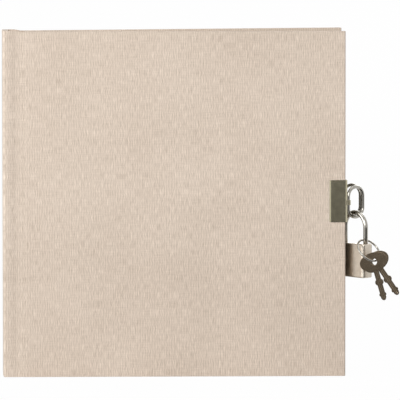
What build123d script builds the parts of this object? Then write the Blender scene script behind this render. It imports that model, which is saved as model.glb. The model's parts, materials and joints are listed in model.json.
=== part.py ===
"""Square hardback diary bound in cloth, standing a little open, with a small padlock on its front hasp ring.

Millimetres, +Z up. The origin is the centre of the spine's tail face, the front cover faces -Y and the fore
edge points to +X. Every piece of a cover is drawn in the closed book and then turned about the cloth joint.
"""
from build123d import *
import math
import os

os.makedirs("parts", exist_ok=True)

# Covers
cover_height = 167.0
cover_width = 154.5
board_thickness = 2.0
cloth_thickness = 0.3
turn_in = 16.0
open_angle = 2.7
cover_edge_round = 0.5

# Spine and cloth joints
spine_board_thickness = 2.4
spine_round = 1.4
spine_cap_rise = 0.6
groove_width = 7.5
groove_depth = 0.9
joint_cloth_thickness = 0.6
joint_gap = 0.1

# Leaves
section_count = 6
section_thickness = 0.72
section_gap = 0.1
section_follow = 0.6
cover_gap = 0.06
flyleaf_thickness = 0.2
flyleaf_setback = 0.3
head_square = 3.5
fore_square = 4.5
fold_clearance = 1.2
lining_gap = 0.06
lining_margin = 8.0
band_rise = 1.5
band_reach = 1.4

# Hasp clips and rings
sheet_thickness = 0.3
clip_height = 20.4
clip_reach = 7.8
clip_chamfer = 1.2
clip_rim = 0.05
clip_centre_z = 84.9
clip_lip = 0.9
knuckle_height = 2.4
knuckle_play = 0.05
ring_wire = 1.65
ring_inner_height = 13.0
ring_inner_width = 7.5
ring_edge_gap = 0.6
ring_sag = 0.8
back_ring_drop = 0.8
ring_angle = 38.0

# Padlock
lock_width = 17.5
lock_depth = 6.5
lock_height = 16.4
lock_side_round = 1.4
lock_edge_round = 0.6
lock_turn = 48.0
shackle_wire = 2.3
shackle_spacing = 13.9
shackle_hang_gap = 0.25
shackle_clear_height = 13.6
bore_clearance = 0.1
toe_depth = 6.2
heel_floor = 0.8
heel_end_gap = 0.3
heel_foot = 1.0
neck_diameter = 1.6
neck_length = 8.6
notch_depth = 0.9
notch_height = 1.8
notch_foot = 1.6
latch_height = 1.6
latch_depth = 2.2
latch_length = 6.0
latch_leg_gap = 0.2
cavity_play = 0.1
lug_start = 0.65
lug_width = 1.0
plug_diameter = 5.2
plug_clearance = 0.05
plug_height = 8.5
plug_recess = 0.1
keyway_width = 0.9
keyway_length = 3.6
keyway_depth = 6.5
cam_pin_diameter = 1.0
cam_pin_radius = 1.4
cam_pin_height = 1.6
cam_room_diameter = 4.4
heel_pin_diameter = 1.0
heel_pin_blind = 1.0
heel_pin_play = 0.1
spring_wire = 0.25
spring_diameter = 1.3
spring_length = 1.9
spring_coils = 4

# Key ring and keys
key_ring_wire = 1.0
key_ring_diameter = 12.5
key_ring_slope = 50.0
key_ring_lift = 1.8
key_ring_leg_gap = 0.1
key_spread = 7.2
key_thickness = 0.8
key_bow_width = 13.5
key_bow_height = 9.2
key_hole_diameter = 3.3
key_hang = 0.45
key_length = 19.3
blade_width = 2.6
bit_width = 4.1
bit_length = 3.6
bit_place = 10.2
tip_bit_width = 3.5
tip_bit_length = 2.4
tip_bit_place = 16.4
blade_groove_width = 0.8
blade_groove_depth = 0.25
key_a_tilt = 16.0
key_b_tilt = 34.0

# Places that follow from the sizes above
spine_thickness = spine_board_thickness + 2 * cloth_thickness
section_pitch = section_thickness + section_gap
half_block = section_count * section_pitch / 2 + flyleaf_thickness
inner_face = half_block + cover_gap
outer_face = inner_face + board_thickness + 2 * cloth_thickness
board_start = spine_thickness + groove_width
fore_edge = board_start + cover_width
hinge_x = spine_thickness + joint_gap + joint_cloth_thickness / 2
hinge_y = outer_face - joint_cloth_thickness / 2
fold_x = spine_thickness + fold_clearance + section_thickness / 2
leaf_end = fore_edge - fore_square
leaf_foot = head_square
leaf_head = cover_height - head_square
cover_middle = (inner_face + outer_face) / 2
ring_radius = ring_wire / 2
ring_bend = (ring_inner_width + ring_wire) / 2
ring_half_leg = (ring_inner_height - ring_inner_width) / 2
ring_centre_z = clip_centre_z - ring_sag
ring_bottom_z = ring_centre_z - ring_half_leg - ring_bend
barrel_x = fore_edge + ring_edge_gap + ring_radius
shackle_radius = shackle_wire / 2
leg_x = shackle_spacing / 2
crown_inner_z = ring_bottom_z + ring_radius + shackle_hang_gap
crown_spring_z = crown_inner_z + shackle_radius - leg_x
lock_top = crown_inner_z - shackle_clear_height
lock_bottom = lock_top - lock_height
lock_x = barrel_x + ring_bend * math.cos(math.radians(ring_angle))
lock_y = ring_bend * math.sin(math.radians(ring_angle)) - cover_middle
toe_foot = lock_top - toe_depth
heel_end = lock_bottom + heel_floor + heel_end_gap
neck_start = heel_end + heel_foot
neck_end = neck_start + neck_length
notch_start = toe_foot + notch_foot
notch_end = notch_start + notch_height
latch_start = notch_start + (notch_height - latch_height) / 2
latch_tip = leg_x - shackle_radius - latch_leg_gap
plug_top = lock_bottom + plug_recess + plug_height
ring_near_x = leg_x - shackle_radius - key_ring_wire / 2 - key_ring_leg_gap
ring_near_z = lock_top + key_ring_lift
slope_cos = math.cos(math.radians(key_ring_slope))
slope_sin = math.sin(math.radians(key_ring_slope))


def block(x0, x1, y0, y1, z0, z1):
    """Box between two opposite corners."""
    centre = Pos((x0 + x1) / 2, (y0 + y1) / 2, (z0 + z1) / 2)
    return centre * Box(abs(x1 - x0), abs(y1 - y0), abs(z1 - z0))


def rod(x, y, z0, z1, diameter):
    """Upright cylinder."""
    return Pos(x, y, (z0 + z1) / 2) * Cylinder(diameter / 2, z1 - z0)


def half_loop(bend, wire):
    """Half torus in the XZ plane, arching over the origin."""
    profile = Pos(bend, 0, 0) * Circle(wire / 2)
    return Rot(180, 0, 0) * revolve(profile, Axis.Y, 180)


def on_cover(shape, side):
    """Turn a piece of the closed book outwards with its cover: side -1 is the front, +1 the back."""
    joint_line = Axis((hinge_x, side * hinge_y, 0), (0, 0, 1))
    return shape.rotate(joint_line, side * open_angle)


def in_lock(shape):
    """Take a piece from the padlock's own frame to its place beside the front cover."""
    return on_cover(Pos(lock_x, lock_y, 0) * Rot(0, 0, -lock_turn) * shape, -1)


def save(shape, name):
    """Centre the frame on the spine's tail face and write the piece."""
    placed = Pos(-spine_thickness / 2, 0, 0) * shape
    placed.label = name
    export_step(placed, f"parts/{name}.step")


# Case
def spine_board():
    board = block(cloth_thickness, spine_thickness - cloth_thickness,
                  cloth_thickness - outer_face, outer_face - cloth_thickness,
                  cloth_thickness, cover_height + spine_cap_rise - cloth_thickness)
    corners = board.edges().filter_by(Axis.Z).group_by(Axis.X)[0]
    return fillet(corners, spine_round - cloth_thickness)


def lining_window():
    """Gap in the spine's cloth where the lining is glued to the board."""
    return block(spine_thickness - cloth_thickness, spine_thickness, -half_block, half_block,
                 leaf_foot + lining_margin, leaf_head - lining_margin)


def spine_cloth():
    cover = block(0, spine_thickness, -outer_face, outer_face, 0, cover_height + spine_cap_rise)
    corners = cover.edges().filter_by(Axis.Z).group_by(Axis.X)[0]
    return fillet(corners, spine_round) - spine_board() - lining_window()


def spine_lining():
    """Mull and paper glued to the folds and to the spine board."""
    fold_face = fold_x - section_thickness / 2 - lining_gap
    sheet = block(spine_thickness, fold_face, -half_block, half_block, leaf_foot, leaf_head)
    return sheet + lining_window()


def end_band(foot):
    """Rolled cloth band across the folds, glued to the end of the lining."""
    band = block(spine_thickness, fold_x + band_reach, -half_block, half_block, foot, foot + band_rise)
    return fillet(band.edges().filter_by(Axis.Y).group_by(Axis.X)[-1], band_rise * 0.45)


def cover_board(side):
    return block(board_start + cloth_thickness, fore_edge - cloth_thickness,
                 side * (inner_face + cloth_thickness), side * (outer_face - cloth_thickness),
                 cloth_thickness, cover_height - cloth_thickness)


def pastedown(side):
    """Endpaper glued into the window that the turned-in cloth leaves."""
    return block(board_start + cloth_thickness, fore_edge - turn_in, side * inner_face,
                 side * (inner_face + cloth_thickness), turn_in, cover_height - turn_in)


def joint_strip(side):
    """Cloth that dips into the groove and rolls round the joint line."""
    chord = board_start - hinge_x
    middle = hinge_x + chord / 2
    radius = (chord ** 2 / 4 + groove_depth ** 2) / (2 * groove_depth)
    centre_y = side * (hinge_y + radius - groove_depth)
    bowl = rod(middle, centre_y, 0, cover_height, 2 * radius + joint_cloth_thickness)
    hollow = rod(middle, centre_y, 0, cover_height, 2 * radius - joint_cloth_thickness)
    reach = block(hinge_x, board_start + cloth_thickness / 2, 0,
                  side * outer_face, 0, cover_height)
    roll = rod(hinge_x, side * hinge_y, 0, cover_height, joint_cloth_thickness)
    return (bowl - hollow) & reach, roll


def cover_cloth(side):
    """Cloth round the board, open inside where the endpaper is glued."""
    cover = block(board_start, fore_edge, side * inner_face, side * outer_face, 0, cover_height)
    outer = cover.faces().sort_by(Axis.Y)[0 if side < 0 else -1]
    rounded = outer.edges().sort_by(Axis.X)[1:]
    shell = fillet(rounded, cover_edge_round) - cover_board(side) - pastedown(side)
    strip, roll = joint_strip(side)
    return shell + strip + roll


def section_side(index):
    """Side that a section leans to, and the share of its cover's opening that it takes."""
    lean = (2 * index + 1) / section_count - 1
    return (-1 if lean < 0 else 1), section_follow * abs(lean)


def section_line(index):
    """Depth of a section's fold."""
    return (index - (section_count - 1) / 2) * section_pitch


def fanned(shape, index):
    side, share = section_side(index)
    fold = Axis((fold_x, section_line(index), 0), (0, 0, 1))
    return shape.rotate(fold, side * share * open_angle)


def section(index):
    """One folded gathering of leaves with its rounded fold."""
    depth = section_line(index)
    leaves = block(fold_x, leaf_end, depth - section_thickness / 2, depth + section_thickness / 2,
                   leaf_foot, leaf_head)
    return leaves + rod(fold_x, depth, leaf_foot, leaf_head, section_thickness)


def flyleaf(side):
    """Free endpaper lying on the outermost section."""
    index = 0 if side < 0 else section_count - 1
    face = section_line(index) + side * section_thickness / 2
    leaf = block(fold_x + flyleaf_setback, leaf_end, face, face + side * flyleaf_thickness, leaf_foot, leaf_head)
    return fanned(leaf, index)


# Hasp
def clip_plan(grip, bend, rim):
    """Plan of the folded sheet: it grips the cover's edge, narrows past it and bends round the ring's leg."""
    start = fore_edge - clip_reach
    upper = [(barrel_x, bend), (fore_edge, grip), (start + clip_chamfer, grip), (start, rim)]
    lower = [(x, -y) for x, y in reversed(upper)]
    return make_face(Polyline(*upper, *lower, close=True)) + Pos(barrel_x, 0) * Circle(bend)


def clip(side):
    """Sheet pinched over the fore edge, with two narrow lips and one knuckle that holds the ring."""
    grip = cover_middle - inner_face
    bend = ring_radius + knuckle_play
    plan = clip_plan(grip + sheet_thickness, bend + sheet_thickness, grip + clip_rim)
    plan -= clip_plan(grip, bend, grip)
    sheet = extrude(plan, clip_height)
    lip_end = fore_edge + clip_lip
    knuckle = clip_height / 2 + ring_centre_z - clip_centre_z
    clear = grip + 2 * sheet_thickness
    sheet -= block(lip_end, barrel_x + clear, -clear, clear, 0, knuckle - knuckle_height / 2)
    sheet -= block(lip_end, barrel_x + clear, -clear, clear, knuckle + knuckle_height / 2, clip_height)
    return Pos(0, side * cover_middle, clip_centre_z - clip_height / 2) * sheet


def hasp_ring(side, drop):
    """Oval wire ring with one straight leg in its clip, swung inwards and hanging by a drop in its knuckle."""
    arch = Pos(ring_bend, 0, ring_half_leg) * half_loop(ring_bend, ring_wire)
    bowl = Pos(ring_bend, 0, -ring_half_leg) * Rot(180, 0, 0) * half_loop(ring_bend, ring_wire)
    held_leg = rod(0, 0, -ring_half_leg, ring_half_leg, ring_wire)
    free_leg = rod(2 * ring_bend, 0, -ring_half_leg, ring_half_leg, ring_wire)
    ring = arch + bowl + held_leg + free_leg
    return Pos(barrel_x, side * cover_middle, ring_centre_z - drop) * Rot(0, 0, -side * ring_angle) * ring


# Padlock
def shackle():
    """Bent rod: a short toe with the latch's notch and a long heel with a neck for its pin."""
    crown = Pos(0, 0, crown_spring_z) * half_loop(leg_x, shackle_wire)
    toe = rod(leg_x, 0, toe_foot, crown_spring_z, shackle_wire)
    notch = block(leg_x - shackle_radius, leg_x - shackle_radius + notch_depth,
                  -shackle_radius, shackle_radius, notch_start, notch_end)
    heel = rod(-leg_x, 0, neck_end, crown_spring_z, shackle_wire)
    neck = rod(-leg_x, 0, neck_start, neck_end, neck_diameter)
    foot = rod(-leg_x, 0, heel_end, neck_start, shackle_wire)
    return crown + (toe - notch) + heel + neck + foot


def heel_pin():
    """Cross pin pressed in from the back, beside the neck of the long leg."""
    pin_x = -leg_x + neck_diameter / 2 + heel_pin_play + heel_pin_diameter / 2
    pin_z = neck_end - heel_pin_play - heel_pin_diameter
    length = lock_depth - heel_pin_blind
    pin = Rot(90, 0, 0) * Cylinder(heel_pin_diameter / 2, length)
    return Pos(pin_x, heel_pin_blind / 2, pin_z) * pin


def lock_case():
    """Block with bores for both legs, the latch's room and the plug."""
    case = block(-lock_width / 2, lock_width / 2, -lock_depth / 2, lock_depth / 2, lock_bottom, lock_top)
    case = fillet(case.edges().filter_by(Axis.Z), lock_side_round)
    rims = case.faces().sort_by(Axis.Z)[0].edges() + case.faces().sort_by(Axis.Z)[-1].edges()
    case = fillet(rims, lock_edge_round)
    bore = shackle_wire + 2 * bore_clearance
    case -= rod(leg_x, 0, toe_foot - heel_end_gap, lock_top, bore)
    case -= rod(-leg_x, 0, lock_bottom + heel_floor, lock_top, bore)
    case -= rod(0, 0, lock_bottom, plug_top + cavity_play, plug_diameter + 2 * plug_clearance)
    case -= rod(0, 0, plug_top, plug_top + cam_pin_height + 2 * cavity_play, cam_room_diameter)
    room = latch_depth / 2 + cavity_play
    room_start = latch_tip - latch_length - spring_length - 2 * cavity_play
    case -= block(room_start, leg_x, -room, room, plug_top, notch_end)
    return case - heel_pin()


def lock_plug():
    """Turning plug with its keyway below and the cam pin above."""
    plug = rod(0, 0, lock_bottom + plug_recess, plug_top, plug_diameter)
    keyway_end = lock_bottom + plug_recess + keyway_depth
    keyway = block(-keyway_length / 2, keyway_length / 2, -keyway_width / 2, keyway_width / 2,
                   lock_bottom, keyway_end)
    swing = cam_pin_radius * math.sqrt(0.5)
    return plug - keyway + rod(-swing, swing, plug_top, plug_top + cam_pin_height, cam_pin_diameter)


def latch():
    """Sliding bolt with a lug that the cam pin pushes towards the toe."""
    bar = block(latch_tip - latch_length, latch_tip, -latch_depth / 2, latch_depth / 2,
                latch_start, latch_start + latch_height)
    lug = block(lug_start, lug_start + lug_width, -latch_depth / 2, latch_depth / 2,
                plug_top + 2 * cavity_play, latch_start)
    return bar + lug


def latch_spring():
    """Coil spring behind the latch."""
    coil = Helix(pitch=(spring_length - spring_wire) / spring_coils, height=spring_length - spring_wire,
                 radius=(spring_diameter - spring_wire) / 2)
    start = Plane(origin=coil @ 0, z_dir=coil % 0)
    wire = sweep(start * Circle(spring_wire / 2), path=coil)
    begin_x = latch_tip - latch_length - spring_length - cavity_play
    return Pos(begin_x + spring_wire / 2, 0, latch_start + latch_height / 2) * Rot(0, 90, 0) * wire


# Keys
def key_ring():
    """Wire ring round the toe leg, lying over the case's corner."""
    radius = key_ring_diameter / 2
    centre = Pos(ring_near_x + radius * slope_cos, 0, ring_near_z - radius * slope_sin)
    return centre * Rot(0, key_ring_slope, 0) * Torus(radius, key_ring_wire / 2)


def key(order, tilt):
    """Flat key with an oval bow and waves on both edges of its blade; order -1 is the front one."""
    tip_radius = blade_width * 0.42
    outline = Ellipse(key_bow_width / 2, key_bow_height / 2)
    outline += Pos(0, -(key_length - tip_radius) / 2) * Rectangle(blade_width, key_length - tip_radius)
    outline += Pos(0, tip_radius - key_length) * Circle(tip_radius)
    outline += Pos(0, -bit_place) * Ellipse(bit_width / 2, bit_length / 2)
    outline += Pos(0, -tip_bit_place) * Ellipse(tip_bit_width / 2, tip_bit_length / 2)
    outline -= Circle(key_hole_diameter / 2)
    body = Rot(90, 0, 0) * extrude(outline, key_thickness / 2, both=True)
    groove_head = -key_bow_height / 2
    body -= block(-blade_groove_width / 2, blade_groove_width / 2, -key_thickness / 2,
                  blade_groove_depth - key_thickness / 2, tip_radius - key_length, groove_head)
    radius = key_ring_diameter / 2
    reach = radius * (1 + math.cos(math.radians(key_spread)))
    place = Vector(ring_near_x + reach * slope_cos, order * radius * math.sin(math.radians(key_spread)), 0)
    place = place.rotate(Axis.Z, -lock_turn) + Vector(lock_x, lock_y, ring_near_z - reach * slope_sin - key_hang)
    return on_cover(Pos(place) * Rot(0, -tilt, 0) * body, -1)


save(spine_board(), "spine_board")
save(spine_cloth(), "spine_cloth")
save(spine_lining(), "spine_lining")
save(end_band(leaf_head), "head_band")
save(end_band(leaf_foot - band_rise), "tail_band")

for cover_side, word in ((-1, "front"), (1, "back")):
    save(on_cover(cover_board(cover_side), cover_side), f"{word}_board")
    save(on_cover(cover_cloth(cover_side), cover_side), f"{word}_cloth")
    save(on_cover(pastedown(cover_side), cover_side), f"{word}_pastedown")
    save(on_cover(clip(cover_side), cover_side), f"{word}_clip")
    save(flyleaf(cover_side), f"{word}_flyleaf")

for number in range(section_count):
    save(fanned(section(number), number), f"section_{number + 1}")

save(on_cover(hasp_ring(-1, 0), -1), "front_ring")
save(on_cover(hasp_ring(1, back_ring_drop), 1), "back_ring")
save(in_lock(shackle()), "shackle")
save(in_lock(lock_case()), "lock_case")
save(in_lock(lock_plug()), "lock_plug")
save(in_lock(latch()), "latch")
save(in_lock(latch_spring()), "latch_spring")
save(in_lock(heel_pin()), "heel_pin")
save(in_lock(key_ring()), "key_ring")
save(key(-1, key_a_tilt), "key_a")
save(key(1, key_b_tilt), "key_b")
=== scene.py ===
"""Dresses the square cloth-bound diary: linen case, paper leaves, nickel hasp, padlock and keys."""

import json
import logging
import math
from dataclasses import dataclass, field
from enum import Enum

import bmesh
import bpy
from mathutils import Matrix, Vector

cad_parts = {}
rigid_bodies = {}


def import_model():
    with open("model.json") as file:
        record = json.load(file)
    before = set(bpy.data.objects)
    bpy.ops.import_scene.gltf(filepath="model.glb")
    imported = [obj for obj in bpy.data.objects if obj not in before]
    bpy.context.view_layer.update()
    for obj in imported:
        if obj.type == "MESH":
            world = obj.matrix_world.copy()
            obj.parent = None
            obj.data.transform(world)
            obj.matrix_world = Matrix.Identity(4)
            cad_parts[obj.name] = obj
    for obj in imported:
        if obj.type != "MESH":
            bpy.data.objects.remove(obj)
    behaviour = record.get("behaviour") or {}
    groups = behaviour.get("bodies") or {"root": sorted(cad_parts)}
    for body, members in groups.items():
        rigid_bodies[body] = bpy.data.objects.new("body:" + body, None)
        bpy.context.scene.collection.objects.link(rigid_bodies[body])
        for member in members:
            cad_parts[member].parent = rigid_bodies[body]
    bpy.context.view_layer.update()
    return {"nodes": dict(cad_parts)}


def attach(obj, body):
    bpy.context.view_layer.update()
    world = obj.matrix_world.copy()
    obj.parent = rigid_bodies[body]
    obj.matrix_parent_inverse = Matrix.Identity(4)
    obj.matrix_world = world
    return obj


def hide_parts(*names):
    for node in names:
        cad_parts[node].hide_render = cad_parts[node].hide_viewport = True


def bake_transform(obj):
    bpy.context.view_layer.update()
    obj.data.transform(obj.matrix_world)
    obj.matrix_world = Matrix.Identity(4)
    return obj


logging.basicConfig(level=logging.INFO, format="%(message)s")
log = logging.getLogger("diary")

for leftover in list(bpy.data.objects):
    bpy.data.objects.remove(leftover)
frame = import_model()

MM = 0.001
GLOSS_SHARE = 0.6
WHITE = (1.0, 1.0, 1.0, 1.0)
Point = tuple[float, float]
Colour = tuple[float, float, float]
Object = bpy.types.Object
Material = bpy.types.Material
Tree = bpy.types.NodeTree
Socket = bpy.types.NodeSocket


class Side(Enum):
    """Cover of the diary, with the sign of its direction along Y."""

    FRONT = -1
    BACK = 1

    @property
    def word(self) -> str:
        """Name of the cover as the node names have it."""
        return self.name.lower()


@dataclass(frozen=True)
class Layout:
    """Places in the closed book, in mm from the spine's outer face, and how far its covers stand open.

    Attributes:
        shift: Distance from the spine's outer face to the row's origin.
        hinge_x: Joint line of the covers.
        hinge_y: Distance of the joint lines from the middle plane.
        open_angle: Angle of each cover at rest, in degrees.
        inner: Inner face of the covers.
        outer: Outer face of the covers.
        fore_edge: Fore edge of the covers.
        height: Height of the covers.
    """

    shift: float = 1.5
    hinge_x: float = 3.4
    hinge_y: float = 5.02
    open_angle: float = 2.7
    inner: float = 2.72
    outer: float = 5.32
    fore_edge: float = 165.0
    height: float = 167.0

    def turned(self, point: Point, side: Side) -> Point:
        """Plan place of a closed-book point once its cover stands open.

        Args:
            point: Place in the closed book.
            side: Cover that the point is on.

        Returns:
            Place in the row frame, in mm.
        """
        angle = math.radians(self.open_angle) * side.value
        line = self.hinge_y * side.value
        dx = point[0] - self.hinge_x
        dy = point[1] - line
        x = self.hinge_x + dx * math.cos(angle) - dy * math.sin(angle) - self.shift
        return x, line + dx * math.sin(angle) + dy * math.cos(angle)


BOOK = Layout()


# Node trees


class Sheet:
    """Short way to add and join nodes in one tree."""

    def __init__(self, tree: Tree) -> None:
        """Keep the tree.

        Args:
            tree: Node tree that nodes go into.
        """
        self.tree = tree

    def add(self, kind: str, inputs: dict | None = None, **settings: object) -> bpy.types.Node:
        """Add a node.

        Args:
            kind: Blender's class name of the node.
            inputs: Sockets to join or values to set, by the input's name or number.
            settings: Properties set on the node.

        Returns:
            The new node.
        """
        node = self.tree.nodes.new(kind)
        for name, value in settings.items():
            setattr(node, name, value)
        self.fill(node, inputs or {})
        return node

    def fill(self, node: bpy.types.Node, inputs: dict) -> None:
        """Join or set a node's inputs.

        Args:
            node: Node to fill.
            inputs: Sockets to join or values to set, by the input's name or number.
        """
        for word, value in inputs.items():
            if isinstance(value, Socket):
                self.tree.links.new(value, node.inputs[word])
            else:
                node.inputs[word].default_value = value

    def math(self, operation: str, first: object, second: object = 0.0, third: object = 0.0) -> Socket:
        """Add a Math node.

        Args:
            operation: Blender's name of the operation.
            first: Socket or number.
            second: Socket or number.
            third: Socket or number.

        Returns:
            The node's output socket.
        """
        return self.add("ShaderNodeMath", {0: first, 1: second, 2: third}, operation=operation).outputs[0]

    def combine(self, x: object = 0.0, y: object = 0.0, z: object = 0.0) -> Socket:
        """Make a vector.

        Args:
            x: Socket or number.
            y: Socket or number.
            z: Socket or number.

        Returns:
            The vector.
        """
        return self.add("ShaderNodeCombineXYZ", {"X": x, "Y": y, "Z": z}).outputs[0]

    def split(self, vector: Socket) -> bpy.types.NodeOutputs:
        """Take a vector apart.

        Args:
            vector: Vector socket.

        Returns:
            Sockets X, Y and Z by name.
        """
        return self.add("ShaderNodeSeparateXYZ", {0: vector}).outputs

    def noise(self, vector: Socket, scale: float, detail: float) -> Socket:
        """Add a noise texture.

        Args:
            vector: Place to sample.
            scale: Texture scale.
            detail: Octaves.

        Returns:
            The noise value, about 0.5 on average.
        """
        values = {"Vector": vector, "Scale": scale, "Detail": detail}
        return self.add("ShaderNodeTexNoise", values).outputs["Fac"]

    def stretch(self, vector: Socket, scale: tuple[float, float, float]) -> Socket:
        """Scale a vector by its own factor along each axis.

        Args:
            vector: Vector socket.
            scale: Factors along X, Y and Z.

        Returns:
            The scaled vector.
        """
        return self.add("ShaderNodeVectorMath", {0: vector, 1: scale}, operation="MULTIPLY").outputs[0]

    def scaled(self, vector: Socket, factor: Socket) -> Socket:
        """Scale a vector or colour evenly.

        Args:
            vector: Vector or colour socket.
            factor: Socket of the factor.

        Returns:
            The scaled vector.
        """
        return self.add("ShaderNodeVectorMath", {0: vector, "Scale": factor}, operation="SCALE").outputs[0]

    def mix(self, amount: Socket, low: Colour, high: Colour) -> Socket:
        """Mix two colours.

        Args:
            amount: Socket from 0, the low colour, to 1, the high one.
            low: Colour at 0.
            high: Colour at 1.

        Returns:
            The mixed colour.
        """
        values = {"Factor": amount, "A": (*low, 1.0), "B": (*high, 1.0)}
        return self.add("ShaderNodeMix", values, data_type="RGBA").outputs["Result"]


def new_group(name: str, inputs: dict[str, float], outputs: tuple[str, ...]) -> tuple:
    """Start a shader group whose first input is a vector.

    Args:
        name: Name of the group.
        inputs: Number inputs and their defaults.
        outputs: Names of the number outputs.

    Returns:
        The group's sheet, its input sockets by name and its output node.
    """
    tree = bpy.data.node_groups.new(name, "ShaderNodeTree")
    tree.interface.new_socket("Vector", in_out="INPUT", socket_type="NodeSocketVector")
    for word, default in inputs.items():
        socket = tree.interface.new_socket(word, in_out="INPUT", socket_type="NodeSocketFloat")
        socket.default_value = default
    for word in outputs:
        tree.interface.new_socket(word, in_out="OUTPUT", socket_type="NodeSocketFloat")
    sheet = Sheet(tree)
    return sheet, sheet.add("NodeGroupInput").outputs, sheet.add("NodeGroupOutput")


def weave_group() -> Tree:
    """Slub weave: upright warp threads of uneven thickness crossed by fainter weft threads.

    Returns:
        Group with outputs Tone and Height.
    """
    cloud_scale, cloud_share = 28.0, 0.4
    warp_share, weft_share = 1.5, 0.5
    pair_share, pair_bend = 0.26, 9.0
    check_share = 0.3
    sheet, given, made = new_group("slub_weave", {"Pitch": 0.56}, ("Tone", "Height"))
    parts = sheet.split(given["Vector"])
    spacing = sheet.math("MULTIPLY", given["Pitch"], MM)
    thread = sheet.math("DIVIDE", sheet.math("ADD", parts["X"], parts["Y"]), spacing)
    row = sheet.math("DIVIDE", parts["Z"], spacing)

    def patch(along: float, up: float, start: float) -> Socket:
        """Noise over the threads and rows, each stretched by its factor, sampled from a start on."""
        across = sheet.math("MULTIPLY_ADD", thread, along, start)
        return sheet.noise(sheet.combine(across, 0.0, sheet.math("MULTIPLY", row, up)), 1.0, 1.0)

    def centred(value: Socket, share: float) -> Socket:
        """Noise value brought about zero and to the width of its share."""
        return sheet.math("MULTIPLY_ADD", value, share, -share / 2)

    warp = patch(along=1.95, up=0.135, start=0.0)
    weft = patch(along=0.1, up=1.55, start=40.0)
    wander = patch(along=0.12, up=0.25, start=80.0)
    depth = patch(along=0.3, up=0.2, start=120.0)
    cloud = sheet.noise(given["Vector"], cloud_scale, 3.0)
    phase = sheet.math("MULTIPLY_ADD", wander, pair_bend, sheet.math("MULTIPLY", thread, math.pi))
    pairs = sheet.math("MULTIPLY", sheet.math("SINE", phase), depth)
    crossed = sheet.math("ADD", centred(warp, warp_share), centred(weft, weft_share))
    threads = sheet.math("MULTIPLY_ADD", pairs, pair_share, crossed)
    tone = sheet.math("ADD", sheet.math("ADD", threads, centred(cloud, cloud_share)), 0.5)
    turn = sheet.math("SINE", sheet.math("MULTIPLY", thread, 2 * math.pi))
    rise = sheet.math("SINE", sheet.math("MULTIPLY", row, 2 * math.pi))
    checks = sheet.math("MULTIPLY", turn, rise)
    height = sheet.math("MULTIPLY_ADD", checks, check_share, sheet.math("ADD", warp, weft))
    sheet.fill(made, {"Tone": tone, "Height": height})
    return sheet.tree


def fibre_group() -> Tree:
    """Paper and board fibres.

    Returns:
        Group with outputs Tone and Height.
    """
    fine_scale, broad_scale = 900.0, 60.0
    fine_share, broad_share = 0.6, 0.4
    sheet, given, made = new_group("fibres", {"Fineness": 1.0}, ("Tone", "Height"))
    spot = sheet.scaled(given["Vector"], given["Fineness"])
    fine = sheet.noise(spot, fine_scale, 4.0)
    broad = sheet.noise(spot, broad_scale, 2.0)
    clouds = sheet.math("MULTIPLY", broad, broad_share)
    tone = sheet.math("MULTIPLY_ADD", fine, fine_share, clouds)
    sheet.fill(made, {"Tone": tone, "Height": fine})
    return sheet.tree


def handled_metal_group() -> Tree:
    """Uneven plating and fine scratches of handled small metal pieces.

    Returns:
        Group with outputs Tone, Gloss and Height.
    """
    stain_scale, streak_scale = 420.0, 450.0
    streak_stretch = (1.0, 1.0, 22.0)
    sheet, given, made = new_group("handled_metal", {"Brush": 0.0}, ("Tone", "Gloss", "Height"))
    stain = sheet.noise(given["Vector"], stain_scale, 4.0)
    streaks = sheet.noise(sheet.stretch(given["Vector"], streak_stretch), streak_scale, 3.0)
    brushed = sheet.math("MULTIPLY", sheet.math("SUBTRACT", streaks, 0.5), given["Brush"])
    tone = sheet.math("ADD", stain, brushed)
    gloss = sheet.math("MULTIPLY_ADD", stain, GLOSS_SHARE, brushed)
    height = sheet.math("MULTIPLY_ADD", streaks, 0.5, stain)
    sheet.fill(made, {"Tone": tone, "Gloss": gloss, "Height": height})
    return sheet.tree


WEAVE = weave_group()
FIBRES = fibre_group()
HANDLED = handled_metal_group()


# Finishes


@dataclass(frozen=True)
class Finish:
    """Finish shared by every kind of surface.

    Attributes:
        name: Name of the material.
        low: Colour of the darkest places.
        high: Colour of the lightest places.
        roughness: Roughness on average.
        bump: Strength of the relief.
        depth: Depth of the relief in mm.
    """

    name: str
    low: Colour
    high: Colour
    roughness: float
    bump: float
    depth: float = 0.1

    def start(self) -> tuple[Material, Sheet, bpy.types.Node, Socket]:
        """Make the material with its shader and its coordinates.

        Returns:
            Material, sheet, Principled node and the object coordinates.
        """
        material = bpy.data.materials.new(self.name)
        material.use_nodes = True
        sheet = Sheet(material.node_tree)
        shader = material.node_tree.nodes["Principled BSDF"]
        shader.inputs["Roughness"].default_value = self.roughness
        place = sheet.add("ShaderNodeTexCoord").outputs["Object"]
        return material, sheet, shader, place

    def relief(self, sheet: Sheet, height: Socket, shader: bpy.types.Node) -> None:
        """Join a height to the shader's normal.

        Args:
            sheet: Sheet of the material.
            height: Height socket.
            shader: Principled node.
        """
        values = {"Strength": self.bump, "Distance": self.depth * MM, "Height": height}
        sheet.fill(shader, {"Normal": sheet.add("ShaderNodeBump", values).outputs["Normal"]})


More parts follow.
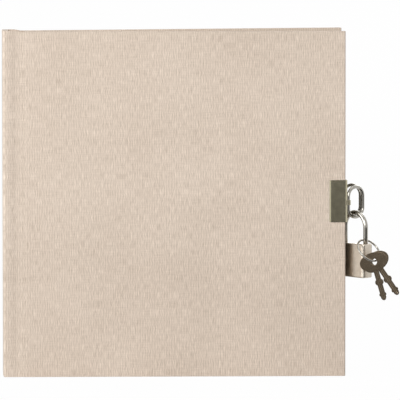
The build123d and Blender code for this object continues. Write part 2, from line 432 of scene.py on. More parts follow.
@dataclass(frozen=True)
class ClothFinish(Finish):
    """Woven cloth.

    Attributes:
        pitch: Thread spacing in mm.
        sheen: Strength of the soft gloss along the fibres.
        specular: Strength of the mirror gloss.
    """

    depth: float = 0.12
    pitch: float = 0.56
    sheen: float = 0.12
    specular: float = 0.2

    def make(self) -> Material:
        """Build the cloth material.

        Returns:
            The material.
        """
        material, sheet, shader, place = self.start()
        values = {"Vector": place, "Pitch": self.pitch}
        weave = sheet.add("ShaderNodeGroup", values, node_tree=WEAVE).outputs
        colour = sheet.mix(weave["Tone"], self.low, self.high)
        sheet.fill(shader, {"Base Color": colour, "Sheen Weight": self.sheen,
                            "Specular IOR Level": self.specular})
        self.relief(sheet, weave["Height"], shader)
        return material


@dataclass(frozen=True)
class PaperFinish(Finish):
    """Paper or board.

    Attributes:
        fineness: Scale of the fibres.
        specular: Strength of the mirror gloss.
    """

    depth: float = 0.03
    fineness: float = 1.0
    specular: float = 0.25

    def make(self) -> Material:
        """Build the paper material.

        Returns:
            The material.
        """
        material, sheet, shader, place = self.start()
        values = {"Vector": place, "Fineness": self.fineness}
        fibres = sheet.add("ShaderNodeGroup", values, node_tree=FIBRES).outputs
        colour = sheet.mix(fibres["Tone"], self.low, self.high)
        sheet.fill(shader, {"Base Color": colour, "Specular IOR Level": self.specular})
        self.relief(sheet, fibres["Height"], shader)
        return material


@dataclass(frozen=True)
class MetalFinish(Finish):
    """Plated or brushed metal.

    Attributes:
        brush: Strength of the brush marks.
        spread: How far the roughness strays from its average.
        dusk: Share of its colour that a face turned straight to the viewer loses, a painted dark
            reflection of the dim room in front.
    """

    depth: float = 0.01
    brush: float = 0.0
    spread: float = 0.1
    dusk: float = 0.0

    def make(self) -> Material:
        """Build the metal material.

        Returns:
            The material.
        """
        material, sheet, shader, place = self.start()
        values = {"Vector": place, "Brush": self.brush}
        handled = sheet.add("ShaderNodeGroup", values, node_tree=HANDLED).outputs
        colour = sheet.mix(handled["Tone"], self.low, self.high)
        # Painted dark reflection: the colour is darkened on faces turned to the viewer, in place of the
        # dim room they would mirror.
        if self.dusk > 0:
            facing = sheet.add("ShaderNodeLayerWeight").outputs["Facing"]
            colour = sheet.scaled(colour, sheet.math("MULTIPLY_ADD", facing, self.dusk, 1.0 - self.dusk))
        smoothest = self.roughness - GLOSS_SHARE / 2 * self.spread
        gloss = sheet.math("MULTIPLY_ADD", handled["Gloss"], self.spread, smoothest)
        sheet.fill(shader, {"Metallic": 1.0, "Base Color": colour, "Roughness": gloss})
        self.relief(sheet, handled["Height"], shader)
        return material


@dataclass(frozen=True)
class BandFinish(Finish):
    """Striped cloth of the head and tail bands.

    Attributes:
        stripe: Width of a pair of stripes in mm.
    """

    stripe: float = 1.1

    def make(self) -> Material:
        """Build the striped material.

        Returns:
            The material.
        """
        material, sheet, shader, place = self.start()
        turns = 2 * math.pi / (self.stripe * MM)
        wave = sheet.math("SINE", sheet.math("MULTIPLY", sheet.split(place)["Y"], turns))
        stripe = sheet.math("MULTIPLY_ADD", wave, 0.5, 0.5)
        sheet.fill(shader, {"Base Color": sheet.mix(stripe, self.low, self.high)})
        self.relief(sheet, stripe, shader)
        return material


LINEN = ClothFinish("linen", (0.47, 0.378, 0.302), (0.765, 0.657, 0.557), 0.85, 0.35)
MULL = ClothFinish("mull", (0.62, 0.58, 0.5), (0.84, 0.81, 0.74), 0.9, 0.5, pitch=0.8)
BAND = BandFinish("band_cloth", (0.42, 0.3, 0.2), (0.83, 0.76, 0.64), 0.7, 0.4)
PAPER = PaperFinish("paper", (0.78, 0.735, 0.645), (0.9, 0.865, 0.79), 0.8, 0.2)
ENDPAPER = PaperFinish("endpaper", (0.74, 0.69, 0.59), (0.88, 0.835, 0.74), 0.8, 0.25)
GREY_BOARD = PaperFinish("grey_board", (0.27, 0.25, 0.225), (0.42, 0.4, 0.37), 0.95, 0.5, fineness=0.6)
CLIP_NICKEL = MetalFinish("clip_nickel", (0.39, 0.36, 0.25), (0.53, 0.485, 0.36), 0.17, 0.15, brush=0.2)
# Wire nickel with a painted dark reflection on the faces turned to the viewer.
NICKEL = MetalFinish("nickel", (0.56, 0.53, 0.47), (0.74, 0.71, 0.65), 0.16, 0.1, dusk=0.55)
BRUSHED_NICKEL = MetalFinish("brushed_nickel", (0.46, 0.4, 0.33), (0.7, 0.64, 0.55), 0.33, 0.35, brush=0.8)
KEY_NICKEL = MetalFinish("key_nickel", (0.34, 0.263, 0.18), (0.49, 0.395, 0.285), 0.17, 0.2)
BRASS = MetalFinish("lock_brass", (0.6, 0.43, 0.19), (0.78, 0.6, 0.32), 0.28, 0.2)
STEEL = MetalFinish("lock_steel", (0.38, 0.38, 0.38), (0.58, 0.58, 0.58), 0.3, 0.2)


# Meshes


def new_object(name: str, data: bpy.types.ID) -> Object:
    """Put a mesh, light or camera in the scene.

    Args:
        name: Name of the object.
        data: What it shows.

    Returns:
        The new object.
    """
    made = bpy.data.objects.new(name, data)
    bpy.context.scene.collection.objects.link(made)
    return made


def from_faces(name: str, corners: list[tuple], faces: list[tuple]) -> Object:
    """Object of plain faces.

    Args:
        name: Name of the object.
        corners: Places in metres.
        faces: Corner numbers of each face.

    Returns:
        The new object.
    """
    mesh = bpy.data.meshes.new(name)
    mesh.from_pydata(corners, [], faces)
    return new_object(name, mesh)


def ease(x: float, start: float, end: float) -> float:
    """Smooth step.

    Args:
        x: Place.
        start: Place where the step is 0.
        end: Place where the step is 1.

    Returns:
        Height of the step.
    """
    share = max(0.0, min(1.0, (x - start) / (end - start)))
    return share * share * (3.0 - 2.0 * share)


def arc(centre: Point, radius: float, start: float, end: float, steps: int = 6) -> list[Point]:
    """Points on a circle's arc.

    Args:
        centre: Centre of the circle.
        radius: Radius.
        start: First angle in degrees.
        end: Last angle in degrees.
        steps: Number of steps.

    Returns:
        The points, ends included.
    """
    turns = [math.radians(start + (end - start) * k / steps) for k in range(steps + 1)]
    return [(centre[0] + radius * math.cos(t), centre[1] + radius * math.sin(t)) for t in turns]


def plain(made: Object) -> Object:
    """Make an object's evaluated shape its plain mesh and drop its modifiers.

    Args:
        made: Object with modifiers.

    Returns:
        The same object.
    """
    bpy.context.view_layer.update()
    graph = bpy.context.evaluated_depsgraph_get()
    mesh = bpy.data.meshes.new_from_object(made.evaluated_get(graph))
    made.modifiers.clear()
    made.data = mesh
    mesh.name = made.name
    return made


def smooth(made: Object, angle: float = 32.0) -> Object:
    """Shade smooth and keep edges sharper than an angle.

    Args:
        made: Object to shade.
        angle: Angle in degrees.

    Returns:
        The same object.
    """
    made.data.shade_smooth()
    made.data.set_sharp_from_angle(angle=math.radians(angle))
    return made


def rounded(made: Object, width: float, angle: float, segments: int = 3) -> Object:
    """Round the edges that are sharper than an angle.

    Args:
        made: Object to round.
        width: Width of the rounding in mm.
        angle: Angle in degrees.
        segments: Steps of the rounding.

    Returns:
        The same object with a plain mesh.
    """
    bevel = made.modifiers.new("round", "BEVEL")
    bevel.width = width * MM
    bevel.segments = segments
    bevel.limit_method = "ANGLE"
    bevel.angle_limit = math.radians(angle)
    return plain(made)


def prism(name: str, outline: list[Point], foot: float, head: float) -> Object:
    """Upright prism over a closed plan outline.

    Args:
        name: Name of the object.
        outline: Corners in mm, anticlockwise seen from above.
        foot: Lowest height in mm.
        head: Greatest height in mm.

    Returns:
        The new object.
    """
    count = len(outline)
    corners = [(x * MM, y * MM, z * MM) for z in (foot, head) for x, y in outline]
    faces = [tuple(reversed(range(count))), tuple(range(count, 2 * count))]
    faces += [(k, (k + 1) % count, (k + 1) % count + count, k + count) for k in range(count)]
    return from_faces(name, corners, faces)


def softened(node: str, width: float, name: str) -> Object:
    """Copy of a CAD node with its sharp edges lightly broken.

    Args:
        node: CAD node to copy.
        width: Width of the rounding in mm, or 0 for none.
        name: Name of the copy.

    Returns:
        The new object, which replaces the node.
    """
    same_place = 0.001 * MM
    flat_angle = math.radians(0.5)
    mesh = frame["nodes"][node].data.copy()
    mesh.materials.clear()
    work = bmesh.new()
    work.from_mesh(mesh)
    bmesh.ops.remove_doubles(work, verts=work.verts, dist=same_place)
    if width > 0:
        bmesh.ops.dissolve_limit(work, angle_limit=flat_angle, verts=work.verts, edges=work.edges)
    work.to_mesh(mesh)
    work.free()
    made = new_object(name, mesh)
    if width > 0:
        rounded(made, width, angle=35.0, segments=2)
    smooth(made, angle=20.0 if width > 0 else 40.0)
    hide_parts(node)
    return made


def levelled(made: Object) -> Object:
    """Let the large flat faces keep their own shading beside their rounded edges.

    Args:
        made: Object with rounded edges.

    Returns:
        The same object with a plain mesh.
    """
    weigh = made.modifiers.new("level", "WEIGHTED_NORMAL")
    weigh.keep_sharp = True
    return plain(made)


def settle(made: Object, body: str, material: Material) -> None:
    """Dress a piece and let it ride on a body.

    Args:
        made: Finished piece.
        body: CAD body that carries it.
        material: Material to show.
    """
    made.data.materials.clear()
    made.data.materials.append(material)
    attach(made, body)
    log.info("piece %s on %s", made.name, body)


def dress(node: str, material: Material) -> None:
    """Give a shown CAD node its material.

    Args:
        node: CAD node.
        material: Material to show.
    """
    shown = frame["nodes"][node]
    shown.data.materials.clear()
    shown.data.materials.append(material)
    log.info("node %s in %s", node, material.name)


# Book


@dataclass
class Case:
    """Linen case: two covers, the spine and the cloth joints between them. Sizes in mm, closed book.

    Attributes:
        board_start: Start of the boards.
        cap_rise: Height of the spine above the covers.
        spine: Thickness of the spine.
        spine_round: Radius of its outer corners.
        spine_edge: Radius of its inner corners.
        groove_depth: Depth of the groove's inner face.
        joint_thickness: Thickness of the cover in the groove.
        dip: Depth of the groove's outer face.
        dip_start: Start of its full depth.
        dip_end: End of its full depth.
        flat_start: Start of the flat face.
        cap_fall: Where the joint cloth begins to fall from the spine's height.
        cap_end: End of the joint cloth.
        lift: Height of the joint cloth over the cover.
        wall: Thickness of the joint cloth.
        edge_round: Radius of the fore edges.
        head_round: Rounding at head and tail.
        inset: How far the inner face is set back.
        material: Cloth.
    """

    board_start: float = 10.5
    cap_rise: float = 0.6
    spine: float = 3.0
    spine_round: float = 1.4
    spine_edge: float = 0.3
    groove_depth: float = 0.9
    joint_thickness: float = 0.6
    dip: float = 0.3
    dip_start: float = 6.6
    dip_end: float = 7.6
    flat_start: float = 12.4
    cap_fall: float = 5.5
    cap_end: float = 10.0
    lift: float = 0.07
    wall: float = 0.4
    edge_round: float = 0.7
    head_round: float = 0.5
    inset: float = 0.06
    material: Material = field(default_factory=LINEN.make)

    def groove(self, x: float, offset: float) -> float:
        """Depth of the joint cloth in the groove.

        Args:
            x: Distance from the spine's outer face.
            offset: Distance outwards from the middle of the cloth.

        Returns:
            Distance from the book's middle plane.
        """
        chord = self.board_start - BOOK.hinge_x
        radius = (chord ** 2 / 4 + self.groove_depth ** 2) / (2 * self.groove_depth)
        centre = BOOK.hinge_y + radius - self.groove_depth
        reach = x - BOOK.hinge_x - chord / 2
        return centre - math.sqrt((radius - offset) ** 2 - reach ** 2)

    def skin(self, x: float) -> float:
        """Outer face of the cloth, with its soft dip along the joint.

        Args:
            x: Distance from the spine's outer face.

        Returns:
            Distance from the book's middle plane.
        """
        falling = ease(x, BOOK.hinge_x, self.dip_start)
        rising = ease(x, self.dip_end, self.flat_start)
        return BOOK.outer - self.dip * (falling - rising)

    def cover_outline(self, side: Side) -> list[Point]:
        """Plan outline of one cover with its joint cloth.

        Args:
            side: Cover to draw.

        Returns:
            Outline in the row frame, anticlockwise.
        """
        half = self.joint_thickness / 2
        inner = BOOK.inner + self.inset
        steps = 14
        board_gap = 0.3
        span = self.board_start - BOOK.hinge_x - board_gap
        walk = [BOOK.hinge_x + span * k / steps for k in range(steps + 1)]
        dip = [BOOK.hinge_x + (self.flat_start - BOOK.hinge_x) * k / steps for k in range(1, steps + 1)]
        r = self.edge_round
        points = [(x, self.skin(x)) for x in dip]
        points += arc((BOOK.fore_edge - r, BOOK.outer - r), r, 90, 0)
        points += arc((BOOK.fore_edge - r, inner + r), r, 0, -90)
        points += [(self.board_start, inner)]
        points += [(x, self.groove(x, -half)) for x in reversed(walk)]
        points += arc((BOOK.hinge_x, BOOK.hinge_y), half, 250, 120, 8)
        placed = [BOOK.turned((x, y * side.value), side) for x, y in points]
        return placed if side is Side.FRONT else placed[::-1]

    def ribbon_line(self) -> list[Point]:
        """Outer face of the cloth over the joint in plan, tucked in at both ends.

        Returns:
            Points in the closed book, from the spine to the cover.
        """
        crest = BOOK.outer + self.lift
        line = [(1.3, BOOK.outer - 0.12), (1.9, BOOK.outer + 0.02)]
        line += [(2.4 + 0.2 * k, crest) for k in range(6)]
        steps = 20
        span = self.cap_end - BOOK.hinge_x
        walk = [BOOK.hinge_x + span * k / steps for k in range(1, steps)]
        line += [(x, self.skin(x) + self.lift) for x in walk]
        tuck = self.cap_end + 0.6
        return line + [(self.cap_end, self.skin(self.cap_end)), (tuck, self.skin(tuck) - 0.1)]

    def joint_ribbon(self, side: Side) -> Object:
        """Cloth that runs on from the spine over the joint line into the groove.

        Args:
            side: Cover that the ribbon runs to.

        Returns:
            The ribbon.
        """
        rows = 40
        foot = 0.05
        line = self.ribbon_line()
        corners = []
        for k in range(rows + 1):
            for x, y in line:
                rise = self.cap_rise * (1.0 - ease(x, self.cap_fall, self.cap_end)) - foot
                z = foot + (BOOK.height + rise - foot) * k / rows
                closed = (x, y * side.value)
                px, py = BOOK.turned(closed, side) if x > BOOK.hinge_x else (x - BOOK.shift, closed[1])
                corners.append((px * MM, py * MM, z * MM))
        width = len(line)
        faces = []
        for k in range(rows):
            for m in range(width - 1):
                low = k * width + m
                quad = (low, low + 1, low + width + 1, low + width)
                faces.append(quad if side is Side.FRONT else quad[::-1])
        made = from_faces(f"{side.word}_joint_cloth", corners, faces)
        wall = made.modifiers.new("wall", "SOLIDIFY")
        wall.thickness = self.wall * MM
        wall.offset = -1.0
        return smooth(plain(made), angle=50.0)

    def spine_outline(self) -> list[Point]:
        """Plan outline of the spine.

        Returns:
            Outline in the row frame, anticlockwise.
        """
        r, e = self.spine_round, self.spine_edge
        points = arc((r, -BOOK.outer + r), r, 180, 270)
        points += arc((self.spine - e, -BOOK.outer + e), e, 270, 360, 3)
        points += arc((self.spine - e, BOOK.outer - e), e, 0, 90, 3)
        points += arc((r, BOOK.outer - r), r, 90, 180)
        return [(x - BOOK.shift, y) for x, y in points]

    def build(self) -> None:
        """Make the cloth pieces."""
        corner_angle = 60.0
        spine = prism("spine_linen", self.spine_outline(), 0.0, BOOK.height + self.cap_rise)
        smooth(rounded(spine, self.head_round, corner_angle))
        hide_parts("spine_cloth")
        settle(spine, "spine", self.material)
        for side in Side:
            cover = prism(f"{side.word}_linen", self.cover_outline(side), 0.0, BOOK.height)
            smooth(rounded(cover, self.head_round, corner_angle))
            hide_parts(f"{side.word}_cloth")
            settle(cover, f"{side.word}_cover", self.material)
            ribbon = self.joint_ribbon(side)
            ribbon.data.materials.append(self.material)
            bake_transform(ribbon)
            log.info("piece %s between spine and %s", ribbon.name, side.word)


@dataclass
class Leaves:
    """Sections of the book block as stacks of leaves, with endpapers, lining and bands. Sizes in mm.

    Attributes:
        count: Number of sections.
        leaves: Leaves in a section.
        thickness: Thickness of a section.
        leaf_thickness: Thickness of a leaf.
        wave: How far leaves wave at the fore edge.
        outer_wave: The same in the outer sections, which lie flat under a flyleaf.
        outer_pitch: Spacing of the leaves in the outer sections.
        splay: Spread of the leaves at the fore edge.
        pitch: Spacing of the sections.
        follow: Share of the covers' opening that the sections take.
        fold_x: Line of the folds.
        leaf_end: Fore edge of the leaves.
        foot: Tail of the leaves.
        head: Head of the leaves.
        paper: Paper of the leaves.
        endpaper: Paper of flyleaves and pastedowns.
    """

    count: int = 6
    leaves: int = 8
    thickness: float = 0.72
    leaf_thickness: float = 0.085
    wave: float = 0.5
    outer_wave: float = 0.1
    outer_pitch: float = 0.086
    splay: float = 0.35
    pitch: float = 0.82
    follow: float = 0.6
    fold_x: float = 4.56
    leaf_end: float = 160.5
    foot: float = 3.5
    head: float = 163.5
    paper: Material = field(default_factory=PAPER.make)
    endpaper: Material = field(default_factory=ENDPAPER.make)

    def lean(self, index: int) -> float:
        """Angle of a section at rest.

        Args:
            index: Place of the section, from the front.

        Returns:
            Angle in degrees about +Z.
        """
        return ((2 * index + 1) / self.count - 1) * self.follow * BOOK.open_angle

    def stack_tree(self) -> Tree:
        """Geometry nodes that stack thin leaves and let them wave a little.

        Returns:
            The node tree.
        """
        ripple_x, ripple_y, ripple_z = 22.0, 260.0, 9.0
        tree = bpy.data.node_groups.new("leaf_stack", "GeometryNodeTree")
        kinds = {"Geometry": "Geometry", "Leaf Count": "Int", "Paper": "Material"}
        numbers = ("Leaf Length", "Leaf Height", "Leaf Thickness", "Leaf Pitch", "Wave", "Splay", "Seed")
        for word, kind in (kinds | dict.fromkeys(numbers, "Float")).items():
            tree.interface.new_socket(word, in_out="INPUT", socket_type=f"NodeSocket{kind}")
        tree.interface.new_socket("Geometry", in_out="OUTPUT", socket_type="NodeSocketGeometry")
        sheet = Sheet(tree)
        given = sheet.add("NodeGroupInput").outputs
        size = sheet.combine(given["Leaf Length"], given["Leaf Thickness"], given["Leaf Height"])
        grid = {"Size": size, "Vertices X": 40, "Vertices Y": 2, "Vertices Z": 7}
        leaf = sheet.add("GeometryNodeMeshCube", grid).outputs["Mesh"]
        middle = sheet.math("MULTIPLY", sheet.math("SUBTRACT", given["Leaf Count"], 1.0), -0.5)
        first = sheet.combine(y=sheet.math("MULTIPLY", middle, given["Leaf Pitch"]))
        row = {"Count": given["Leaf Count"], "Start Location": first,
               "Offset": sheet.combine(y=given["Leaf Pitch"])}
        line = sheet.add("GeometryNodeMeshLine", row).outputs["Mesh"]
        put = sheet.add("GeometryNodeInstanceOnPoints", {"Points": line, "Instance": leaf}).outputs[0]
        real = sheet.add("GeometryNodeRealizeInstances", {"Geometry": put}).outputs[0]
        parts = sheet.split(sheet.add("GeometryNodeInputPosition").outputs[0])
        along = sheet.math("ADD", sheet.math("DIVIDE", parts["X"], given["Leaf Length"]), 0.5)
        spot = sheet.combine(sheet.math("MULTIPLY", parts["X"], ripple_x),
                             sheet.math("MULTIPLY_ADD", parts["Y"], ripple_y, given["Seed"]),
                             sheet.math("MULTIPLY", parts["Z"], ripple_z))
        ripple = sheet.math("SUBTRACT", sheet.noise(spot, 1.0, 1.0), 0.5)
        sway = sheet.math("MULTIPLY", sheet.math("MULTIPLY", ripple, given["Wave"]), along)
        fan = sheet.math("MULTIPLY", sheet.math("MULTIPLY", parts["Y"], given["Splay"]), along)
        offset = sheet.combine(y=sheet.math("ADD", sway, fan))
        shaped = sheet.add("GeometryNodeSetPosition", {"Geometry": real, "Offset": offset}).outputs[0]
        look = {"Geometry": shaped, "Material": given["Paper"]}
        dressed = sheet.add("GeometryNodeSetMaterial", look).outputs[0]
        sheet.add("NodeGroupOutput", {"Geometry": dressed})
        return tree

    def section(self, index: int, tree: Tree) -> Object:
        """Stack of leaves for one section.

        Args:
            index: Place of the section, from the front.
            tree: Geometry nodes that make the stack.

        Returns:
            The stack, in its place at rest.
        """
        name = f"section_{index + 1}_leaves"
        made = new_object(name, bpy.data.meshes.new(name))
        stack = made.modifiers.new("stack", "NODES")
        stack.node_group = tree
        outer = index in (0, self.count - 1)
        pitch = self.outer_pitch if outer else self.thickness / self.leaves
        wave = self.outer_wave if outer else self.wave
        seed_step = 3.1
        values = {"Leaf Count": self.leaves, "Leaf Length": (self.leaf_end - self.fold_x) * MM,
                  "Leaf Height": (self.head - self.foot) * MM, "Leaf Pitch": pitch * MM,
                  "Leaf Thickness": self.leaf_thickness * MM, "Wave": wave * MM,
                  "Splay": 0.0 if outer else self.splay, "Seed": seed_step * index, "Paper": self.paper}
        for item in tree.interface.items_tree:
            if item.in_out == "INPUT" and item.name in values:
                stack[item.identifier] = values[item.name]
        plain(made)
        depth = (index - (self.count - 1) / 2) * self.pitch
        fold = Vector(((self.fold_x - BOOK.shift) * MM, depth * MM, 0.0))
        middle_x = (self.fold_x + self.leaf_end) / 2 - BOOK.shift
        middle = Vector((middle_x * MM, depth * MM, (self.foot + self.head) / 2 * MM))
        turn = Matrix.Rotation(math.radians(self.lean(index)), 4, "Z")
        made.data.transform(Matrix.Translation(fold) @ turn @ Matrix.Translation(middle - fold))
        return made

    def build(self) -> None:
        """Make the sections and dress the endpapers, lining and bands."""
        tree = self.stack_tree()
        for index in range(self.count):
            made = smooth(self.section(index, tree), angle=40.0)
            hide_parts(f"section_{index + 1}")
            settle(made, f"section_{index + 1}", self.paper)
        for word in ("front", "back"):
            dress(f"{word}_pastedown", self.endpaper)
            dress(f"{word}_flyleaf", self.endpaper)
        board = GREY_BOARD.make()
        for node in ("front_board", "back_board", "spine_board"):
            dress(node, board)
        dress("spine_lining", MULL.make())
        band = BAND.make()
        dress("head_band", band)
        dress("tail_band", band)


# Metal


@dataclass
class Hasp:
    """Sheet clips on both fore edges and their oval rings. Sizes in mm, from the cover's middle.

    Attributes:
        grip: Half of the width inside.
        sheet: Thickness of the sheet.
        reach: Reach of the flanks over the cover.
        rim: Thickness of their chamfered edge.
        chamfer: Length of the chamfer.
        lip: Reach of the flanks past the fore edge.
        lip_close: How far they close in there.
        fold: Distance of the folds from the fore edge.
        barrel_x: Axis of the knuckle.
        barrel: Its outer radius.
        wrap: Degrees that it goes round to either side.
        foot: Tail of the flanks.
        head: Head of the flanks.
        knuckle_foot: Tail of the knuckle.
        knuckle_head: Head of the knuckle.
        edge: Rounding of the edges.
        metal: Nickel of the clips.
        wire: Nickel of the rings.
    """

    grip: float = 1.3
    sheet: float = 0.3
    reach: float = 7.8
    rim: float = 0.03
    chamfer: float = 0.8
    lip: float = 0.9
    lip_close: float = 0.65
    fold: float = 0.2
    barrel_x: float = 166.425
    barrel: float = 1.175
    wrap: float = 110.0
    foot: float = 74.7
    head: float = 95.1
    knuckle_foot: float = 82.9
    knuckle_head: float = 85.3
    edge: float = 0.06
    metal: Material = field(default_factory=CLIP_NICKEL.make)
    wire: Material = field(default_factory=NICKEL.make)

    def placed(self, outline: list[Point], side: Side) -> list[Point]:
        """Plan outline of the clip in the row frame.

        Args:
            outline: Points about the cover's middle, anticlockwise.
            side: Cover that the clip is on.

        Returns:
            The same points on the open cover.
        """
        middle = (BOOK.inner + BOOK.outer) / 2 * side.value
        return [BOOK.turned((x, middle + y), side) for x, y in outline]

    def flank(self, sign: int) -> list[Point]:
        """Plan of one flank: chamfered edge, flat plate and a lip that closes in past the fore edge.

        Args:
            sign: Side of the cover's middle, 1 or -1.

        Returns:
            Closed outline, anticlockwise.
        """
        fore = BOOK.fore_edge
        start, tip = fore - self.reach, fore + self.lip
        inner, outer = self.grip, self.grip + self.sheet
        shoulder = (fore + 0.05, outer - 0.1)
        line = [(start, inner + self.rim), (start + self.chamfer, outer), (fore - self.sheet, outer),
                shoulder, (tip, outer - self.lip_close), (tip - self.fold, inner - self.lip_close),
                (fore - self.fold, inner), (start, inner)]
        outline = [(x, sign * y) for x, y in line]
        return outline if sign < 0 else outline[::-1]

    def knuckle(self) -> list[Point]:
        """Plan of the narrow strip that runs from the flanks round the ring's leg.

        Returns:
            Closed outline, anticlockwise.
        """
        first = BOOK.fore_edge + self.fold
        centre = (self.barrel_x, 0.0)
        steps = 20
        bow = arc(centre, self.barrel, -self.wrap, self.wrap, steps)
        hollow = arc(centre, self.barrel - self.sheet, self.wrap, -self.wrap, steps)
        end = [(first, self.grip), (first, self.grip - self.sheet)]
        return [(first, -self.grip), *bow, *end, *hollow, (first, self.sheet - self.grip)]

    def clip(self, side: Side) -> Object:
        """Folded sheet on one cover.

        Args:
            side: Cover that the clip is on.

        Returns:
            The clip.
        """
        strips = [(self.flank(sign), self.foot, self.head) for sign in (-1, 1)]
        strips.append((self.knuckle(), self.knuckle_foot, self.knuckle_head))
        work = bmesh.new()
        for outline, foot, head in strips:
            part = prism("strip", self.placed(outline, side), foot, head)
            rounded(part, self.edge, angle=50.0, segments=2)
            work.from_mesh(part.data)
            bpy.data.objects.remove(part)
        name = f"{side.word}_sheet_clip"
        mesh = bpy.data.meshes.new(name)
        work.to_mesh(mesh)
        work.free()
        return smooth(new_object(name, mesh), angle=14.0)

    def build(self) -> None:
        """Make both clips and both rings."""
        for side in Side:
            clip = self.clip(side)
            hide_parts(f"{side.word}_clip")
            settle(clip, f"{side.word}_cover", self.metal)
            ring = softened(f"{side.word}_ring", 0.0, f"{side.word}_oval_ring")
            settle(ring, f"{side.word}_ring", self.wire)


@dataclass
class Padlock:
    """Shackle, case, plug and the pieces inside the case."""

    wire: Material
    edge: float = 0.08

    def build(self) -> None:
        """Make the padlock's pieces."""
        shackle = softened("shackle", 0.0, "bent_shackle")
        settle(shackle, "shackle", self.wire)
        case = levelled(softened("lock_case", self.edge, "brushed_case"))
        settle(case, "lock_case", BRUSHED_NICKEL.make())
        plug = softened("lock_plug", self.edge, "turning_plug")
        settle(plug, "plug", BRASS.make())
        steel = STEEL.make()
        for node in ("latch", "latch_spring", "heel_pin"):
            dress(node, steel)


@dataclass
class Keys:
    """Key ring and both flat keys."""

    wire: Material
    edge: float = 0.12

    def build(self) -> None:
        """Make the key ring and the keys."""
        ring = softened("key_ring", 0.0, "wire_key_ring")
        settle(ring, "key_ring", self.wire)
        metal = KEY_NICKEL.make()
        for name in ("key_a", "key_b"):
            key = levelled(softened(name, self.edge, f"flat_{name}"))
            settle(key, name, metal)


# Studio


@dataclass(frozen=True)
class Lamp:
    """Soft square lamp that points at the diary.

    Attributes:
        name: Name of the lamp.
        place: Its place in metres.
        power: Power in watts.
        size: Edge length in metres.
    """

    name: str
    place: tuple[float, float, float]
    power: float
    size: float


LAMPS = (
    Lamp("key_lamp", (-0.8, -2.3, 0.95), 29.5, 1.0),
    Lamp("side_lamp", (-2.2, -0.9, 0.6), 28.0, 1.2),
    Lamp("top_lamp", (0.1, -0.3, 2.2), 6.0, 1.2),
    Lamp("back_lamp", (0.9, 2.3, 1.0), 14.0, 1.2),
)


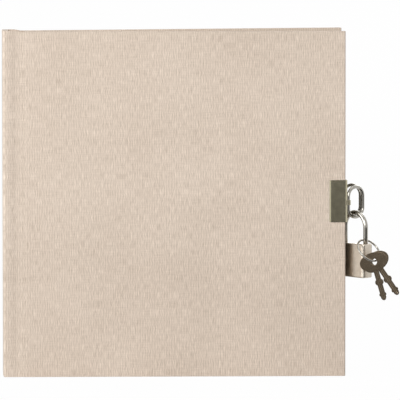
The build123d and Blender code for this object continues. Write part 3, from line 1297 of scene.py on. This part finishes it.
@dataclass
class Studio:
    """White floor and sky, soft lamps and a camera at the photo's angle. Metres and degrees."""

    distance: float = 3.5
    azimuth: float = -4.019
    elevation: float = 5.588
    roll: float = 0.049
    focal_px: float = 7242.5
    picture_px: float = 400.0
    sensor_mm: float = 36.0
    target: tuple[float, float, float] = (0.093885, 0.0, 0.084718)

    def camera(self) -> None:
        """Place the camera."""
        lens = bpy.data.cameras.new("camera")
        lens.sensor_width = self.sensor_mm
        lens.lens = self.sensor_mm * self.focal_px / self.picture_px
        lens.clip_end = 50.0
        eye = new_object("camera", lens)
        a, e = math.radians(self.azimuth), math.radians(self.elevation)
        back = Vector((math.sin(a) * math.cos(e), -math.cos(a) * math.cos(e), math.sin(e)))
        right = Vector((math.cos(a), math.sin(a), 0.0))
        up = back.cross(right)
        turn = Matrix((right, up, back)).transposed().to_4x4()
        place = Matrix.Translation(Vector(self.target) + back * self.distance)
        eye.matrix_world = place @ turn @ Matrix.Rotation(math.radians(-self.roll), 4, "Z")
        bpy.context.scene.camera = eye

    def lamp(self, lamp: Lamp) -> None:
        """Add a soft square lamp that points at the diary.

        Args:
            lamp: Lamp to add.
        """
        light = bpy.data.lights.new(lamp.name, "AREA")
        light.energy = lamp.power
        light.size = lamp.size
        made = new_object(lamp.name, light)
        aim = Vector(self.target) - Vector(lamp.place)
        turn = aim.to_track_quat("-Z", "Y").to_matrix().to_4x4()
        made.matrix_world = Matrix.Translation(lamp.place) @ turn

    def matte(self, name: str, colour: Colour) -> Material:
        """Plain rough material.

        Args:
            name: Name of the material.
            colour: Its colour.

        Returns:
            The material.
        """
        material = bpy.data.materials.new(name)
        material.use_nodes = True
        shader = material.node_tree.nodes["Principled BSDF"]
        Sheet(material.node_tree).fill(shader, {"Base Color": (*colour, 1.0), "Roughness": 0.9})
        return material

    def card(self) -> None:
        """Dark card on the floor before the lock, outside the picture, that only the metal mirrors."""
        steps = 12
        near, far = 0.05, 2.4
        height = 0.0005
        centre = (0.165, 0.0)
        rims = [arc(centre, radius, -104.0, -32.0, steps) for radius in (near, far)]
        corners = [(x, y, height) for rim in rims for x, y in rim]
        faces = [(k, k + steps + 1, k + steps + 2, k + 1) for k in range(steps)]
        made = from_faces("card", corners, faces)
        made.data.materials.append(self.matte("grey_card", (0.02, 0.018, 0.015)))
        made.visible_camera = False
        made.visible_diffuse = False
        made.visible_shadow = False

    def seen_white(self, sheet: Sheet) -> Socket:
        """Share of rays that see the plain white background.

        Args:
            sheet: Sheet of the floor's material or the world.

        Returns:
            Socket that is 1 for camera, glossy and transmission rays.
        """
        path = sheet.add("ShaderNodeLightPath")
        seen = sheet.math("MAXIMUM", path.outputs["Is Camera Ray"], path.outputs["Is Glossy Ray"])
        return sheet.math("MAXIMUM", seen, path.outputs["Is Transmission Ray"])

    def world(self) -> None:
        """White sky for the eye, softer light for the diary."""
        sky = bpy.data.worlds.new("sky")
        bpy.context.scene.world = sky
        sky.use_nodes = True
        sheet = Sheet(sky.node_tree)
        glow = sky.node_tree.nodes["Background"]
        light = 0.5
        strength = sheet.math("MULTIPLY_ADD", self.seen_white(sheet), 1.0 - light, light)
        sheet.fill(glow, {"Color": WHITE, "Strength": strength})

    def floor(self) -> None:
        """Pale floor that keeps the diary's shadow and reads as white."""
        half = 6.0
        white_share = 0.98
        corners = [(-half, -half, 0.0), (half, -half, 0.0), (half, half, 0.0), (-half, half, 0.0)]
        made = from_faces("floor", corners, [(0, 1, 2, 3)])
        material = self.matte("pale_floor", (0.6, 0.6, 0.6))
        sheet = Sheet(material.node_tree)
        shader = material.node_tree.nodes["Principled BSDF"]
        glow = sheet.add("ShaderNodeEmission", {"Color": WHITE}).outputs[0]
        share = sheet.math("MULTIPLY", self.seen_white(sheet), white_share)
        mix = sheet.add("ShaderNodeMixShader", {"Fac": share, 1: shader.outputs[0], 2: glow}).outputs[0]
        sheet.fill(material.node_tree.nodes["Material Output"], {"Surface": mix})
        made.data.materials.append(material)

    def build(self) -> None:
        """Set up camera, light and floor."""
        bpy.context.scene.view_settings.view_transform = "Standard"
        self.camera()
        self.world()
        self.floor()
        self.card()
        for lamp in LAMPS:
            self.lamp(lamp)


def main() -> None:
    """Build the diary piece by piece."""
    Case().build()
    Leaves().build()
    hasp = Hasp()
    hasp.build()
    Padlock(hasp.wire).build()
    Keys(hasp.wire).build()
    Studio().build()


if __name__ == "__main__":
    main()
